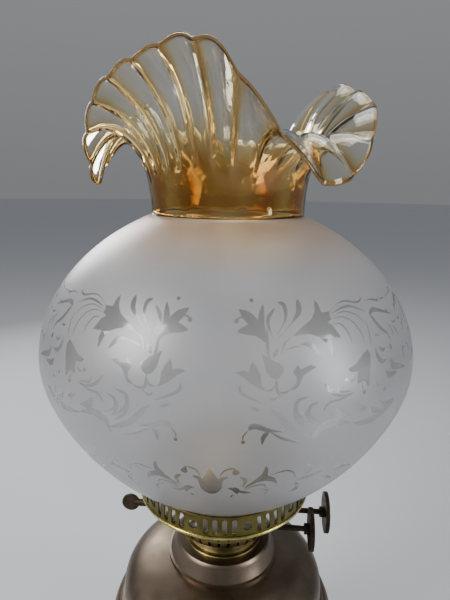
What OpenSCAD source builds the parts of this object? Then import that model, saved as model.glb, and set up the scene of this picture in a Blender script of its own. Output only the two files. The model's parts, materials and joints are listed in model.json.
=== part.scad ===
// Duplex oil lamp: a metal vase base with a drop-in font, a two-wick burner with
// a pierced shade gallery, and a blown globe shade with a crimped, folded rim.
// It stands on z = 0 with its axis on Z. The wick winders point along +X.

/* [Base] */
// Diameter of the spreading foot
foot_d = 154; // [140:1:160]
// Height of the top of the foot
foot_h = 38; // [34:1:40]
// Largest diameter of the vase
vase_d = 152; // [150:1:156]
// Height of the vase mouth
mouth_z = 147; // [145:1:149]
// Thickness of the spun metal
metal = 1.2; // [1:0.1:1.4]

/* [Font] */
// Diameter of the font wall
font_d = 133; // [128:1:134]
// Height at which the dome of the font meets its wall
shoulder_z = 160; // [157:1:162]
// Height of the top of the font neck
neck_z = 194.7; // [194:0.1:195]
// Diameter of the burner thread
thread_d = 42.2; // [41:0.1:43]

/* [Burner] */
// Turn of the burner about the lamp axis, in degrees
burner_turn = -4.5; // [-20:0.5:20]
// Width of each flat wick
wick_w = 28; // [25:0.5:28]
// Thickness of each flat wick
wick_t = 2.4; // [2:0.1:2.6]
// Distance of each wick from the lamp axis
wick_y = 3.4; // [3.3:0.1:3.6]
// Height of the winder shafts
winder_z = 207.5; // [207:0.1:208.5]
// Distance of each winder shaft from the lamp axis
winder_y = 8.5; // [8.3:0.1:9]
// Distance of the front winder knob from the lamp axis
knob_front_x = 57; // [50:1:60]
// Distance of the rear winder knob from the lamp axis
knob_rear_x = 68.5; // [64:0.5:75]
// Diameter of the winder knobs
knob_d = 26; // [20:1:28]
// Distance of the extinguisher tab from the lamp axis
tab_x = 63; // [60:1:70]
// Diameter of the extinguisher tab
tab_d = 11.8; // [9:0.1:14]

/* [Gallery] */
// Outside diameter of the pierced band
gallery_d = 106; // [105:0.5:107]
// Height of the gallery floor
floor_z = 235; // [234.5:0.1:235.2]
// Number of repeats of the pierced pattern
pattern_repeats = 11; // [9:1:11]

/* [Shade] */
// Largest diameter of the globe
globe_d = 210; // [200:1:220]
// Height of the widest part of the globe
equator_z = 330; // [326:1:334]
// Height at which the globe meets its neck
shade_neck_z = 405.2; // [402:0.1:408]
// Outside diameter of the neck
shade_neck_d = 85; // [78:1:86]
// Thickness of the blown glass
glass = 2.6; // [2:0.1:3]
// Number of crimps around the rim
crimps = 24; // [18:3:30]
// Greatest depth of the crimps, from the middle line
crimp_depth = 2.6; // [1:0.1:4]

/* [Hidden] */
$fn = 64;

gap = 0.3;            // room between pieces that lift off each other
foot_r = foot_d / 2;
vase_r = vase_d / 2;
font_r = font_d / 2;
pad_h = 2;            // felt thickness
rod_r = 4;
rod_fit = 0.1;        // room round the tie rod
nut_h = 5;
washer_h = 1;
vase_z = foot_h + 14; // underside of the vase
belly_z = 130;        // height of the widest part of the vase
seam_z = 122;         // joint between font shell and font pan
pan_z = 100;          // underside of the font
thread_r = thread_d / 2;
collar_r = 24;
collar_top = 196.1;   // top of the font collar
basket_z = 204;       // underside of the air basket
basket_r = 34;
basket_top = 228;
seat_z = 220.5;       // ledge that the gallery sleeve sits on
sheet = 0.8;          // burner sheet metal
plate_z = 226.4;
tube_wall = 0.5;
tube_play = 0.3;      // room between the flats of a wick and its tube
tube_edge_play = 0.4; // room at the edges of a wick
tube_w = wick_w + 2 * (tube_edge_play + tube_wall);
tube_t = wick_t + 2 * (tube_play + tube_wall);
tube_top = 258;
tube_bottom = 192;
sleeve_play = 0.4;    // room between tube and extinguisher sleeve
sleeve_wall = 0.4;
sleeve_z = 230;
sleeve_h = 20;
shaft_r = 1.75;
shaft_fit = 0.08;
bush_r = 3.2;
sprocket_r = winder_y - wick_y - wick_t / 2 - gap;
sprocket_x = 7;
lever_z = 212;
lever_r = 1.6;
lever_bush_r = 2.9;
crank_x = 19.5;       // inner face of the crank, left of the axis
crank_t = 2.5;
crank_reach = 9;
leg_z = 214;          // underside of the yoke leg
wick_top = 260;
wick_bottom = seam_z;
dome_r = 29.8;
dome_top = 268;
dome_shoulder = 246;
band_r = gallery_d / 2;
band_wall = 0.8;
band_top = floor_z + 13.3;
floor_top = floor_z + sheet;
lip_z = floor_top + gap;  // underside of the shade lip
lip_r = 50;
waist_r = 46.7;
neck_r = shade_neck_d / 2;
globe_r = globe_d / 2;
shade_foot_z = floor_z + 14.6;  // underside of the globe just above the gallery

// One point of a cubic curve with ends a and d and handles b and c.
function curve(a, b, c, d, t) = pow(1 - t, 3) * a + 3 * pow(1 - t, 2) * t * b
    + 3 * (1 - t) * t * t * c + pow(t, 3) * d;

// The points of such a curve from step first to step n.
function curve_points(a, b, c, d, n, first = 0) =
    [for (i = [first:n]) curve(a, b, c, d, i / n)];

function reversed(list) = [for (i = [len(list) - 1:-1:0]) list[i]];

// A solid of revolution from points given as [radius, height].
module turned(points) rotate_extrude(convexity = 6) polygon(points);

// A plain ring between two radii and two heights.
module ring(inner, outer, low, high)
    turned([[inner, low], [outer, low], [outer, high], [inner, high]]);

// A round bar along X from x1 to x2 at the given side offset and height.
module bar_x(r, x1, x2, y, z)
    translate([x1, y, z]) rotate([0, 90, 0]) cylinder(r = r, h = x2 - x1);

// Turns a burner piece with the burner.
module on_burner() rotate([0, 0, burner_turn]) children();

// ---- base ----

module felt_pad() color("darkolivegreen") cylinder(r = foot_r - 3, h = pad_h, $fn = 96);

// Upper surface of the foot at radius r.
foot_edge_z = 7;
foot_wall = 3.5;
hub_r = 24;
hub_depth = 9;
function foot_height(r) = foot_edge_z
    + (foot_h - foot_edge_z) * pow((foot_r - r) / (foot_r - hub_r), 1.6);

module foot() color("saddlebrown") {
    steps = 14;
    top = [for (i = [0:steps]) let (r = foot_r - i * (foot_r - hub_r) / steps) [r, foot_height(r)]];
    below = [for (i = [steps:-1:0]) let (r = foot_r - 3 - i * (foot_r - hub_r) / steps)
        [r, max(pad_h, foot_height(r + 3) - foot_wall)]];
    turned(concat([[foot_r, pad_h]], top, [[rod_r + rod_fit, foot_h], [rod_r + rod_fit, foot_h - hub_depth],
        [hub_r - 3, foot_h - hub_depth]], below));
}

ballast_z = pad_h + 1 + nut_h + washer_h;
module ballast_weight() color("dimgray")
    turned([[rod_r + rod_fit, ballast_z], [44, ballast_z], [44, ballast_z + 5], [40, ballast_z + 6.5],
        [14, ballast_z + 6.5], [14, foot_h - hub_depth], [rod_r + rod_fit, foot_h - hub_depth]]);

module tie_rod() color("gray")
    translate([0, 0, pad_h + 1]) cylinder(r = rod_r, h = vase_z + 3 + washer_h + nut_h + 3 - pad_h - 1);

// A hexagon nut that grips the tie rod.
module rod_nut(z) translate([0, 0, z]) difference() {
    cylinder(r = 8, h = nut_h, $fn = 6);
    translate([0, 0, -1]) cylinder(r = rod_r, h = nut_h + 2);
}

module foot_nut() color("gray") rod_nut(pad_h + 1);
module foot_washer() color("silver") ring(rod_r, 10, pad_h + 1 + nut_h, ballast_z);

module waist_knop() color("saddlebrown")
    turned(concat([[rod_r + rod_fit, foot_h], [20, foot_h]],
        curve_points([20, foot_h], [28, foot_h + 1], [28, foot_h + 9], [19, foot_h + 9.5], 10, 1),
        [[17, foot_h + 12], [20, vase_z], [rod_r + rod_fit, vase_z]]));

mouth_r = font_r + 0.9;
vase_floor = 3;
module vase_body() color("saddlebrown") {
    outer = concat(
        curve_points([21, vase_z], [34, vase_z + 12], [vase_r, 84], [vase_r, belly_z], 14),
        curve_points([vase_r, belly_z], [vase_r, belly_z + 9], [mouth_r + 5, mouth_z],
            [mouth_r + 1.6, mouth_z], 8, 1));
    inner = concat(
        curve_points([20, vase_z + vase_floor], [34, vase_z + 14], [vase_r - metal, 86],
            [vase_r - metal, belly_z], 14),
        curve_points([vase_r - metal, belly_z], [vase_r - metal, belly_z + 8], [mouth_r + 4, mouth_z - metal],
            [mouth_r, mouth_z - metal], 8, 1));
    turned(concat([[rod_r + rod_fit, vase_z]], outer, [[mouth_r, mouth_z]], reversed(inner),
        [[rod_r + rod_fit, vase_z + vase_floor]]));
}

module vase_rim() color("peru")
    turned(concat([[mouth_r, mouth_z], [mouth_r + 1.6, mouth_z]],
        curve_points([mouth_r + 1.6, mouth_z], [mouth_r + 2.6, mouth_z + 0.4], [mouth_r + 2.2, mouth_z + 1.6],
            [mouth_r + 0.8, mouth_z + 1.6], 5, 1), [[mouth_r, mouth_z + 1.6]]));

module vase_washer() color("silver") ring(rod_r, 10, vase_z + vase_floor, vase_z + vase_floor + washer_h);
module vase_nut() color("gray") rod_nut(vase_z + vase_floor + washer_h);

// ---- font ----

// Height of the dome of the font at radius r.
dome_rise = 24.5;
dome_power = 2.4;
function font_dome(r, edge) = shoulder_z
    + dome_rise * pow(max(0, 1 - pow(r / edge, dome_power)), 1 / dome_power);

module font_shell() color("rosybrown") {
    neck_bead_r = 36.4;
    steps = 16;
    inside = font_r - metal;
    dome = [for (i = [0:steps]) let (r = font_r - (font_r - neck_bead_r) * pow(i / steps, 2))
        [r, font_dome(r, font_r)]];
    hollow = [for (i = [0:steps]) let (r = inside - (inside - 33) * pow(i / steps, 2))
        [r, font_dome(r, inside) - metal]];
    neck = [[neck_bead_r, 184.6], [35, 185], [32.4, 190.5], [31.3, neck_z - 1], [30.2, neck_z]];
    turned(concat([[inside, seam_z], [font_r, seam_z]], dome, neck,
        [[collar_r, neck_z], [collar_r, neck_z - metal], [29.6, neck_z - metal], [31, 189], [33, 183.5]],
        reversed(hollow)));
}

module font_pan() color("peru") {
    corner = 20;
    outer = [for (a = [0:10:90]) [font_r - corner + corner * cos(a), pan_z + corner - corner * sin(a)]];
    inner = [for (a = [90:-10:0])
        [font_r - corner + (corner - metal) * cos(a), pan_z + corner - (corner - metal) * sin(a)]];
    turned(concat([[font_r, seam_z]], outer, [[0, pan_z], [0, pan_z + metal]], inner,
        [[font_r - metal, seam_z]]));
}

module font_flange() color("peru")
    turned([[font_r, mouth_z + 1.9], [font_r + 2, mouth_z + 1.9], [font_r + 2.4, mouth_z + 2.5],
        [font_r + 2, mouth_z + 3.1], [font_r, mouth_z + 3.4]]);

module font_collar() color("goldenrod")
    turned([[thread_r, neck_z - 10], [collar_r, neck_z - 10], [collar_r, neck_z], [collar_r + 1.6, neck_z],
        [collar_r + 1.6, collar_top - 0.4], [collar_r + 1.2, collar_top], [thread_r, collar_top]]);

// ---- burner ----

bore_r = 18;
module burner_collar() color("goldenrod") {
    skirt_r = thread_r - 0.4;
    low = collar_top + gap;
    waist = curve_points([collar_r, low + 1.4], [collar_r - 1, low + 2.4], [20, low + 3.4],
        [20, basket_z - 1], 8);
    turned(concat([[bore_r, neck_z - 9], [skirt_r, neck_z - 9], [skirt_r, low], [collar_r, low]], waist,
        [[21, basket_z], [bore_r, basket_z]]));
}

slot_count = 36;
module air_basket() color("darkgoldenrod") difference() {
    bowl = curve_points([collar_r, basket_z], [collar_r + 5, basket_z + 1], [basket_r, basket_z + 7],
        [basket_r, basket_z + 12], 8);
    lining = curve_points([collar_r - 0.3, basket_z + sheet], [collar_r + 4.4, basket_z + sheet + 1],
        [basket_r - sheet, basket_z + 7.4], [basket_r - sheet, basket_z + 12], 8);
    turned(concat([[bore_r, basket_z]], bowl,
        [[basket_r, seat_z - 1], [basket_r + 1.2, seat_z - 1], [basket_r + 1.2, seat_z], [basket_r, seat_z],
        [basket_r, basket_top], [basket_r - sheet, basket_top]], reversed(lining),
        [[bore_r, basket_z + sheet]]));
    for (i = [0:slot_count - 1]) let (a = i * 360 / slot_count)
        if (abs(a - 180) > 14 && abs(a - 180) < 148) rotate([0, 0, a + burner_turn]) {
            translate([23, -0.8, basket_z + 1.8]) cube([12, 1.6, 8.4]);
            translate([30, 0, basket_z + 13]) rotate([0, 90, 0]) cylinder(r = 1.2, h = 6, $fn = 24);
        }
    on_burner() {
        bar_x(bush_r, 20, 40, winder_y, winder_z);
        bar_x(bush_r, 20, 40, -winder_y, winder_z);
        bar_x(lever_bush_r, -40, -24, 0, lever_z);
    }
}

// A plain block centred on X and Y.
module block(w, t, low, high, x = 0, y = 0)
    translate([x - w / 2, y - t / 2, low]) cube([w, t, high - low]);

leg_x = -21.1;
leg_y = 7.75;
leg_w = 3;
leg_t = 2.5;
module burner_plate() color("goldenrod") difference() {
    translate([0, 0, plate_z]) cylinder(r = basket_r - sheet, h = sheet);
    on_burner() {
        block(tube_w, tube_t, plate_z - 1, plate_z + 2, 0, wick_y);
        block(tube_w, tube_t, plate_z - 1, plate_z + 2, 0, -wick_y);
        block(leg_w + 1.2, leg_t + 1.2, plate_z - 1, plate_z + 2, leg_x, leg_y);
        for (a = [0:30:330]) rotate([0, 0, a + 15]) translate([26, 0, plate_z - 1])
            cylinder(r = 2, h = 3, $fn = 24);
    }
}

// A flat wick tube; side is -1 for the front and 1 for the rear.
module wick_tube(side) on_burner() difference() {
    block(tube_w, tube_t, tube_bottom, tube_top, 0, side * wick_y);
    block(tube_w - 2 * tube_wall, tube_t - 2 * tube_wall, tube_bottom - 1, tube_top + 1, 0, side * wick_y);
    for (x = [-sprocket_x, sprocket_x])
        block(4, 1.6, winder_z - 5, winder_z + 5, x, side * (wick_y + tube_t / 2));
}

module wick_tube_front() color("gold") wick_tube(-1);
module wick_tube_rear() color("gold") wick_tube(1);

module winder_bracket() color("goldenrod") on_burner() difference() {
    block(1.3, 25, basket_z + sheet, plate_z, -16.5, 0);
    for (y = [-winder_y, winder_y]) bar_x(shaft_r + shaft_fit, -20, -12, y, winder_z);
}

// The bearing of a winder shaft in the basket wall.
module winder_bush(side) on_burner() difference() {
    bar_x(bush_r, 22.4, 32, side * winder_y, winder_z);
    bar_x(shaft_r + shaft_fit, 20, 34, side * winder_y, winder_z);
}

module winder_bush_front() color("goldenrod") winder_bush(-1);
module winder_bush_rear() color("goldenrod") winder_bush(1);

module lever_bush() color("goldenrod") on_burner() difference() {
    bar_x(lever_bush_r, -37, -27, 0, lever_z);
    bar_x(lever_r + shaft_fit, -38, -26, 0, lever_z);
}

// ---- wick winders ----

// A star outline whose radius steps between outer and inner, with n teeth.
module toothed(outer, inner, n)
    polygon([for (i = [0:2 * n - 1]) let (r = i % 2 == 0 ? outer : inner, a = i * 180 / n)
        [r * cos(a), r * sin(a)]]);

module winder_shaft(side, knob_x) on_burner() bar_x(shaft_r, -18, knob_x + 2, side * winder_y, winder_z);

knob_t = 2.5;
module winder_knob(side, x) on_burner() difference() {
    translate([x, side * winder_y, winder_z]) rotate([0, 90, 0]) {
        translate([0, 0, -knob_t / 2]) linear_extrude(knob_t) toothed(knob_d / 2, knob_d / 2 - 0.45, 60);
        translate([0, 0, -knob_t / 2 - 3]) cylinder(r = 3.4, h = 3);
        translate([0, 0, knob_t / 2]) cylinder(r1 = 3.4, r2 = 2.6, h = 0.7);
    }
    bar_x(shaft_r, x - 10, x + 10, side * winder_y, winder_z);
}

module winder_sprockets(side) on_burner() difference() {
    for (x = [-sprocket_x, sprocket_x]) translate([x - 1.1, side * winder_y, winder_z])
        rotate([0, 90, 0]) linear_extrude(2.2) toothed(sprocket_r, sprocket_r - 0.8, 12);
    bar_x(shaft_r, -12, 12, side * winder_y, winder_z);
}

module winder_shaft_front() color("dimgray") winder_shaft(-1, knob_front_x);
module winder_knob_front() color("dimgray") winder_knob(-1, knob_front_x);
module winder_sprockets_front() color("goldenrod") winder_sprockets(-1);
module winder_shaft_rear() color("dimgray") winder_shaft(1, knob_rear_x);
module winder_knob_rear() color("dimgray") winder_knob(1, knob_rear_x);
module winder_sprockets_rear() color("goldenrod") winder_sprockets(1);

module wick(side) on_burner() block(wick_w, wick_t, wick_bottom, wick_top, 0, side * wick_y);
module wick_front() color("linen") wick(-1);
module wick_rear() color("linen") wick(1);

// ---- extinguisher ----

module lever_shaft() color("dimgray") on_burner() bar_x(lever_r, -tab_x + 8, -crank_x, 0, lever_z);

module lever_tab() color("dimgray") on_burner() difference() {
    union() {
        translate([-tab_x, 0.8, lever_z]) rotate([90, 0, 0]) cylinder(r = tab_d / 2, h = 1.6);
        bar_x(2.3, -tab_x + 3, -tab_x + 11, 0, lever_z);
    }
    bar_x(lever_r, -tab_x + 8, -tab_x + 12, 0, lever_z);
}

module lever_crank() color("goldenrod") on_burner() difference() {
    union() {
        bar_x(3, -crank_x - crank_t, -crank_x, 0, lever_z);
        translate([-crank_x - crank_t, 0, lever_z - 1.2]) cube([crank_t, crank_reach, 2.4]);
    }
    bar_x(lever_r, -crank_x - crank_t - 1, -crank_x + 1, 0, lever_z);
}

sleeve_in_w = tube_w + 2 * sleeve_play;
sleeve_in_t = tube_t + 2 * sleeve_play;
sleeve_w = sleeve_in_w + 2 * sleeve_wall;
sleeve_t = sleeve_in_t + 2 * sleeve_wall;
module extinguisher_sleeves() color("gold") on_burner() for (side = [-1, 1]) difference() {
    block(sleeve_w, sleeve_t, sleeve_z, sleeve_z + sleeve_h, 0, side * wick_y);
    block(sleeve_in_w, sleeve_in_t, sleeve_z - 1, sleeve_z + sleeve_h + 1, 0, side * wick_y);
}

module extinguisher_yoke() color("goldenrod") on_burner() {
    left = leg_x - leg_w / 2;
    difference() {
        translate([left, -9, sleeve_z + 2]) cube([18 - left, 18, 1]);
        for (side = [-1, 1]) block(sleeve_w, sleeve_t, sleeve_z, sleeve_z + 5, 0, side * wick_y);
    }
    block(leg_w, leg_t, leg_z, sleeve_z + 2.5, leg_x, leg_y);
}

module flame_dome() color("gold") difference() {
    rise = dome_top - dome_shoulder;
    low = plate_z + sheet + gap;
    outer = [for (a = [0:9:90]) [dome_r * cos(a), dome_shoulder + rise * sin(a)]];
    inner = [for (a = [90:-9:0]) [(dome_r - sheet) * cos(a), dome_shoulder + (rise - sheet) * sin(a)]];
    turned(concat([[dome_r - sheet, low], [dome_r, low]], outer, inner));
    on_burner() for (y = [-wick_y, wick_y]) block(33, 5, dome_shoulder + 6, dome_top + 1, 0, y);
    for (a = [0:20:340]) rotate([0, 0, a]) translate([dome_r - 3, 0, 240])
        rotate([0, 90, 0]) cylinder(r = 1.3, h = 6, $fn = 24);
}

// ---- gallery ----

pierce_z = floor_z + 6.6;   // middle height of the piercings
slot_angles = [7.6, 13.4, 19.2, 25.1];
first_hole = -75.7;
module gallery_band() color("gold") difference() {
    turned([[band_r - band_wall, floor_top], [band_r, floor_top], [band_r - 0.3, band_top - 0.9],
        [band_r + 0.2, band_top - 0.7], [band_r + 0.2, band_top - 0.2], [band_r, band_top],
        [band_r - band_wall - 0.2, band_top], [band_r - band_wall - 0.2, band_top - 0.9],
        [band_r - band_wall - 0.1, band_top - 1]]);
    for (k = [0:pattern_repeats - 1]) rotate([0, 0, first_hole + k * 360 / pattern_repeats]) {
        translate([band_r - 3, 0, pierce_z]) rotate([0, 90, 0]) cylinder(r = 2.5, h = 6);
        for (a = slot_angles) rotate([0, 0, a * 11 / pattern_repeats]) {
            translate([band_r - 3, -1.4, pierce_z - 3.4]) cube([6, 2.8, 6.8]);
            for (z = [-3.4, 3.4]) translate([band_r - 3, 0, pierce_z + z])
                rotate([0, 90, 0]) cylinder(r = 1.4, h = 6, $fn = 24);
        }
    }
}

bead_r = 1.1;
module gallery_bead() color("yellow") rotate_extrude() intersection() {
    translate([band_r - 0.2, floor_z]) circle(r = bead_r, $fn = 32);
    translate([band_r - 1, floor_z - 3]) square([5, 3 + sheet]);
}

seat_r = 30.5;
sleeve_r = basket_r + 0.4;
module gallery_floor() color("gold")
    turned([[seat_r, floor_z], [sleeve_r, floor_z], [sleeve_r, seat_z + gap],
        [sleeve_r + sheet, seat_z + gap],
        [sleeve_r + sheet, floor_z], [band_r - 1, floor_z], [band_r - 1, floor_top], [seat_r, floor_top]]);

crown_r = 33;
module chimney_crown() color("gold") {
    ring(crown_r, crown_r + 0.7, floor_top, floor_top + 2.4);
    for (a = [0:45:315]) rotate([0, 0, a + 22.5]) translate([crown_r, 0, floor_top + 1])
        rotate([0, 9, 0]) translate([0, -3.2, 0]) cube([0.7, 6.4, 12]);
}

// ---- shade ----

module shade_globe() color("white") {
    low = shade_foot_z;
    steps = 16;
    r_in = globe_r - glass;
    outer = concat([[lip_r, lip_z], [lip_r, lip_z + 3], [waist_r, lip_z + 5.5], [waist_r, low - 1]],
        curve_points([waist_r + 3, low], [globe_r - 30, low + 11.4], [globe_r + 0.5, equator_z - 26],
            [globe_r, equator_z], steps),
        curve_points([globe_r, equator_z], [globe_r, equator_z + 27], [neck_r + 41.5, shade_neck_z - 17.2],
            [neck_r, shade_neck_z], steps, 1));
    inner = concat(
        curve_points([waist_r - 0.8, low + 2.6], [globe_r - 31.4, low + 14], [r_in + 0.5, equator_z - 25],
            [r_in, equator_z], steps),
        curve_points([r_in, equator_z], [r_in, equator_z + 25.6], [neck_r + 37.5, shade_neck_z - 18.6],
            [neck_r - glass, shade_neck_z - 2.2], steps, 1));
    turned(concat([[waist_r - glass - 0.4, lip_z]], outer, [[neck_r - glass, shade_neck_z]], reversed(inner),
        [[waist_r - glass, low + 1]]));
}

// The rim rises in three peaks and folds down in three lips. Each entry is a
// direction in degrees, then in mm the rim's reach beyond the neck, its height
// above the neck, and the height of the shoulder where a lip folds over.
rim_turns = [[-177, 28, 16, 66], [-157, 32, 36, 66], [-140, 33, 54, 66], [-120, 31, 65, 66],
    [-96, 34, 67, 60], [-77, 35, 39, 54], [-61, 35, 18, 50], [-45, 35, 21, 50], [-20, 33, 51, 56],
    [-2, 26, 63, 66], [25, 24, 70, 70], [45, 24, 57, 74], [70, 31, 20, 74], [100, 32, 47, 70],
    [128, 30, 67, 66], [155, 30, 45, 66], [183, 28, 16, 66]];
last_turn = len(rim_turns) - 1;
function turn_slope(k) = let (i = k == 0 || k == last_turn ? 0 : k,
    before = i == 0 ? rim_turns[last_turn - 1] - [360, 0, 0, 0] : rim_turns[i - 1],
    after = i == 0 ? rim_turns[1] : rim_turns[i + 1]) (after - before) / (after[0] - before[0]);

// The rim in direction a: a smooth line through the entries.
function rim_at(a) = let (k = max([for (k = [0:last_turn - 1]) if (a >= rim_turns[k][0]) k]),
    p = rim_turns[k], q = rim_turns[k + 1], w = q[0] - p[0], u = (a - p[0]) / w)
    curve(p, p + turn_slope(k) * w / 3, q - turn_slope(k + 1) * w / 3, q, u);

// Control points of the wall from the neck to the rim, as [reach, height].
lip_low = 16;         // height of the rim on a lip that is folded all the way
lip_rise = 52;        // from there to a rim that stands up
straight_neck = 36;   // handle that keeps the wall upright below a lip
function wall_handles(rim) = let (s = min(1, max(0, (rim[2] - lip_low) / lip_rise)), folded = 1 - s)
    [[0, 0], [0, straight_neck * folded + rim[2] * s / 2],
    [rim[1] * (0.6 * folded + 0.25 * s), rim[3] * folded + 0.8 * rim[2] * s], [rim[1], rim[2]]];
function wall_point(h, t) = curve(h[0], h[1], h[2], h[3], t);
function wall_out(h, t) = let (d = wall_point(h, t + 0.01) - wall_point(h, t - 0.01)) [d[1], -d[0]] / norm(d);

// Pleats with sharp ridges and round valleys, deepest above the throat. The wall
// runs from 0 at the neck to 1 at the rim.
crimp_peak = 0.7;
crimp_spread = 0.45;
function crimp(a, t) = crimp_depth * max(0, 1 - pow((t - crimp_peak) / crimp_spread, 2))
    * (1 - 2 * abs(sin((a - rim_turns[0][0]) * crimps / 2)));
function frill_point(a, t, inward) = let (h = wall_handles(rim_at(a)), n = t < 0.01 ? [1, 0] : wall_out(h, t),
    p = wall_point(h, t) + n * (crimp(a, t) - inward * glass))
    [(neck_r + p[0]) * cos(a), (neck_r + p[0]) * sin(a), shade_neck_z + p[1]];

module shade_frill() color("sandybrown") {
    n = crimps * 5;
    m = 12;
    points = [for (side = [0, 1]) for (j = [0:m]) for (i = [0:n - 1])
        frill_point(rim_turns[0][0] + i * 360 / n, j / m, side)];
    layer = (m + 1) * n;
    faces = [for (i = [0:n - 1]) let (k = (i + 1) % n) each [
        each [for (j = [0:m - 1]) let (p = j * n + i, q = j * n + k) each [
            [p, p + n, q + n], [p, q + n, q],
            [layer + p, layer + q + n, layer + p + n], [layer + p, layer + q, layer + q + n]]],
        [m * n + i, layer + m * n + i, layer + m * n + k], [m * n + i, layer + m * n + k, m * n + k],
        [i, k, layer + k], [i, layer + k, layer + i]]];
    polyhedron(points, faces, convexity = 10);
}

felt_pad();
foot();
ballast_weight();
tie_rod();
foot_nut();
foot_washer();
waist_knop();
vase_body();
vase_rim();
vase_washer();
vase_nut();
font_shell();
font_pan();
font_flange();
font_collar();
burner_collar();
air_basket();
burner_plate();
wick_tube_front();
wick_tube_rear();
winder_bracket();
winder_bush_front();
winder_bush_rear();
lever_bush();
winder_shaft_front();
winder_knob_front();
winder_sprockets_front();
winder_shaft_rear();
winder_knob_rear();
winder_sprockets_rear();
wick_front();
wick_rear();
lever_shaft();
lever_tab();
lever_crank();
extinguisher_sleeves();
extinguisher_yoke();
flame_dome();
gallery_band();
gallery_bead();
gallery_floor();
chimney_crown();
shade_globe();
shade_frill();
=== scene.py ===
import json
import math

import bpy
from mathutils import Matrix, Vector
from mathutils.geometry import delaunay_2d_cdt


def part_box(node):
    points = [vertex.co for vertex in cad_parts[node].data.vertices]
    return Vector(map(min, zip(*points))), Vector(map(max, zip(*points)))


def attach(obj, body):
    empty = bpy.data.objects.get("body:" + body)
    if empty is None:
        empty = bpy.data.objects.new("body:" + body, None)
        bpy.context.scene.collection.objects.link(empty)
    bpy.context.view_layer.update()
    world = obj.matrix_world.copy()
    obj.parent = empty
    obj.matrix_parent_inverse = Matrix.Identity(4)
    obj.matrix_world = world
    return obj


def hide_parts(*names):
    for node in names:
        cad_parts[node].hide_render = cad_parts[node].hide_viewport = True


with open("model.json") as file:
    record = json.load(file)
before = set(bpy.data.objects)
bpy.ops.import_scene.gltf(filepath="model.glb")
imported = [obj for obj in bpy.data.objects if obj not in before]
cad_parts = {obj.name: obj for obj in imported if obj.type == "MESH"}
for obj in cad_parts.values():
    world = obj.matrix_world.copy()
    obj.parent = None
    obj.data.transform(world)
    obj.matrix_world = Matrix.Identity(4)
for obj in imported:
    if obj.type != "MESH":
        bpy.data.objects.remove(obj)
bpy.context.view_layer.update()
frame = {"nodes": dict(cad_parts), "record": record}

# The oil lamp in its frame. The metal parts are the CAD's own nodes with materials. The shade,
# the two wicks and the felt are modelled here, on the bodies of the nodes they replace.

nodes = frame["nodes"]
MM = 0.001

# The globe: its box is the CAD's, and the sizes under it are the ones part.scad uses.
globe_low, globe_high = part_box("shade_globe")
GLOBE_R = globe_high[0]
LIP_Z = globe_low[2]
NECK_Z = globe_high[2]
NECK_R = 0.0425
GLASS = 0.0026
FOOT_Z = LIP_Z + 13.5 * MM
EQUATOR_Z = LIP_Z + 93.9 * MM
WAIST_R = 0.0467
LIP_R = 0.05


# ---------------------------------------------------------------- camera and light

CAMERA_PLACE = (0, -0.2625, 0.4219)
CAMERA_PITCH = math.radians(14.26)
CAMERA_ROLL = math.radians(0.83)
CAMERA_LENS_MM = 27.53
CAMERA_SHIFT = -0.0028


def make_camera():
    """The camera stands in front of the shade, a little above its middle, and looks down."""
    data = bpy.data.cameras.new("view_camera")
    data.lens = CAMERA_LENS_MM
    data.sensor_width = 36
    data.shift_x = CAMERA_SHIFT
    data.clip_start = 0.01
    camera = bpy.data.objects.new("view_camera", data)
    turn = Matrix.Rotation(math.pi / 2 - CAMERA_PITCH, 4, "X") @ Matrix.Rotation(CAMERA_ROLL, 4, "Z")
    camera.matrix_world = Matrix.Translation(CAMERA_PLACE) @ turn
    bpy.context.scene.collection.objects.link(camera)
    bpy.context.scene.camera = camera


def area_light(name, place, target, size, power, colour=(1, 1, 1)):
    """A rectangular light at place that faces target; size in metres, power in watts."""
    data = bpy.data.lights.new(name, "AREA")
    data.shape = "RECTANGLE"
    data.size, data.size_y = size
    data.energy = power
    data.color = colour
    lamp = bpy.data.objects.new(name, data)
    lamp.location = place
    lamp.rotation_euler = (Vector(target) - Vector(place)).to_track_quat("-Z", "Y").to_euler()
    bpy.context.scene.collection.objects.link(lamp)


def make_light():
    """A sky that brightens upwards, and four soft boxes."""
    world = bpy.data.worlds.new("studio")
    bpy.context.scene.world = world
    world.use_nodes = True
    tree = world.node_tree
    direction = tree.nodes.new("ShaderNodeTexCoord")
    height = tree.nodes.new("ShaderNodeSeparateXYZ")
    tree.links.new(direction.outputs["Generated"], height.inputs["Vector"])
    tone = ramp(tree, height.outputs["Z"], (0.0, (0.2, 0.205, 0.215)), (0.9, (0.34, 0.35, 0.37)))
    tree.links.new(tone, tree.nodes["Background"].inputs["Color"])
    shade_middle = (0, 0, 0.33)
    area_light("key_left", (-0.95, -0.62, 1.0), shade_middle, (0.45, 0.7), 19, (1, 0.98, 0.95))
    area_light("fill_right", (0.95, -0.55, 0.6), shade_middle, (0.3, 0.7), 8, (0.95, 0.98, 1))
    area_light("back_left", (-0.6, 0.9, 0.7), (0, 0, 0.42), (0.4, 0.5), 6)
    area_light("top", (0.1, 0.2, 1.4), shade_middle, (0.7, 0.7), 7)


# ---------------------------------------------------------------- materials

def new_material(name, colour, metallic=0.0, roughness=0.5):
    """A Principled material; returns it with its node tree and shader."""
    material = bpy.data.materials.new(name)
    material.use_nodes = True
    tree = material.node_tree
    shader = tree.nodes["Principled BSDF"]
    shader.inputs["Base Color"].default_value = (*colour, 1)
    shader.inputs["Metallic"].default_value = metallic
    shader.inputs["Roughness"].default_value = roughness
    return material, tree, shader


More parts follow.
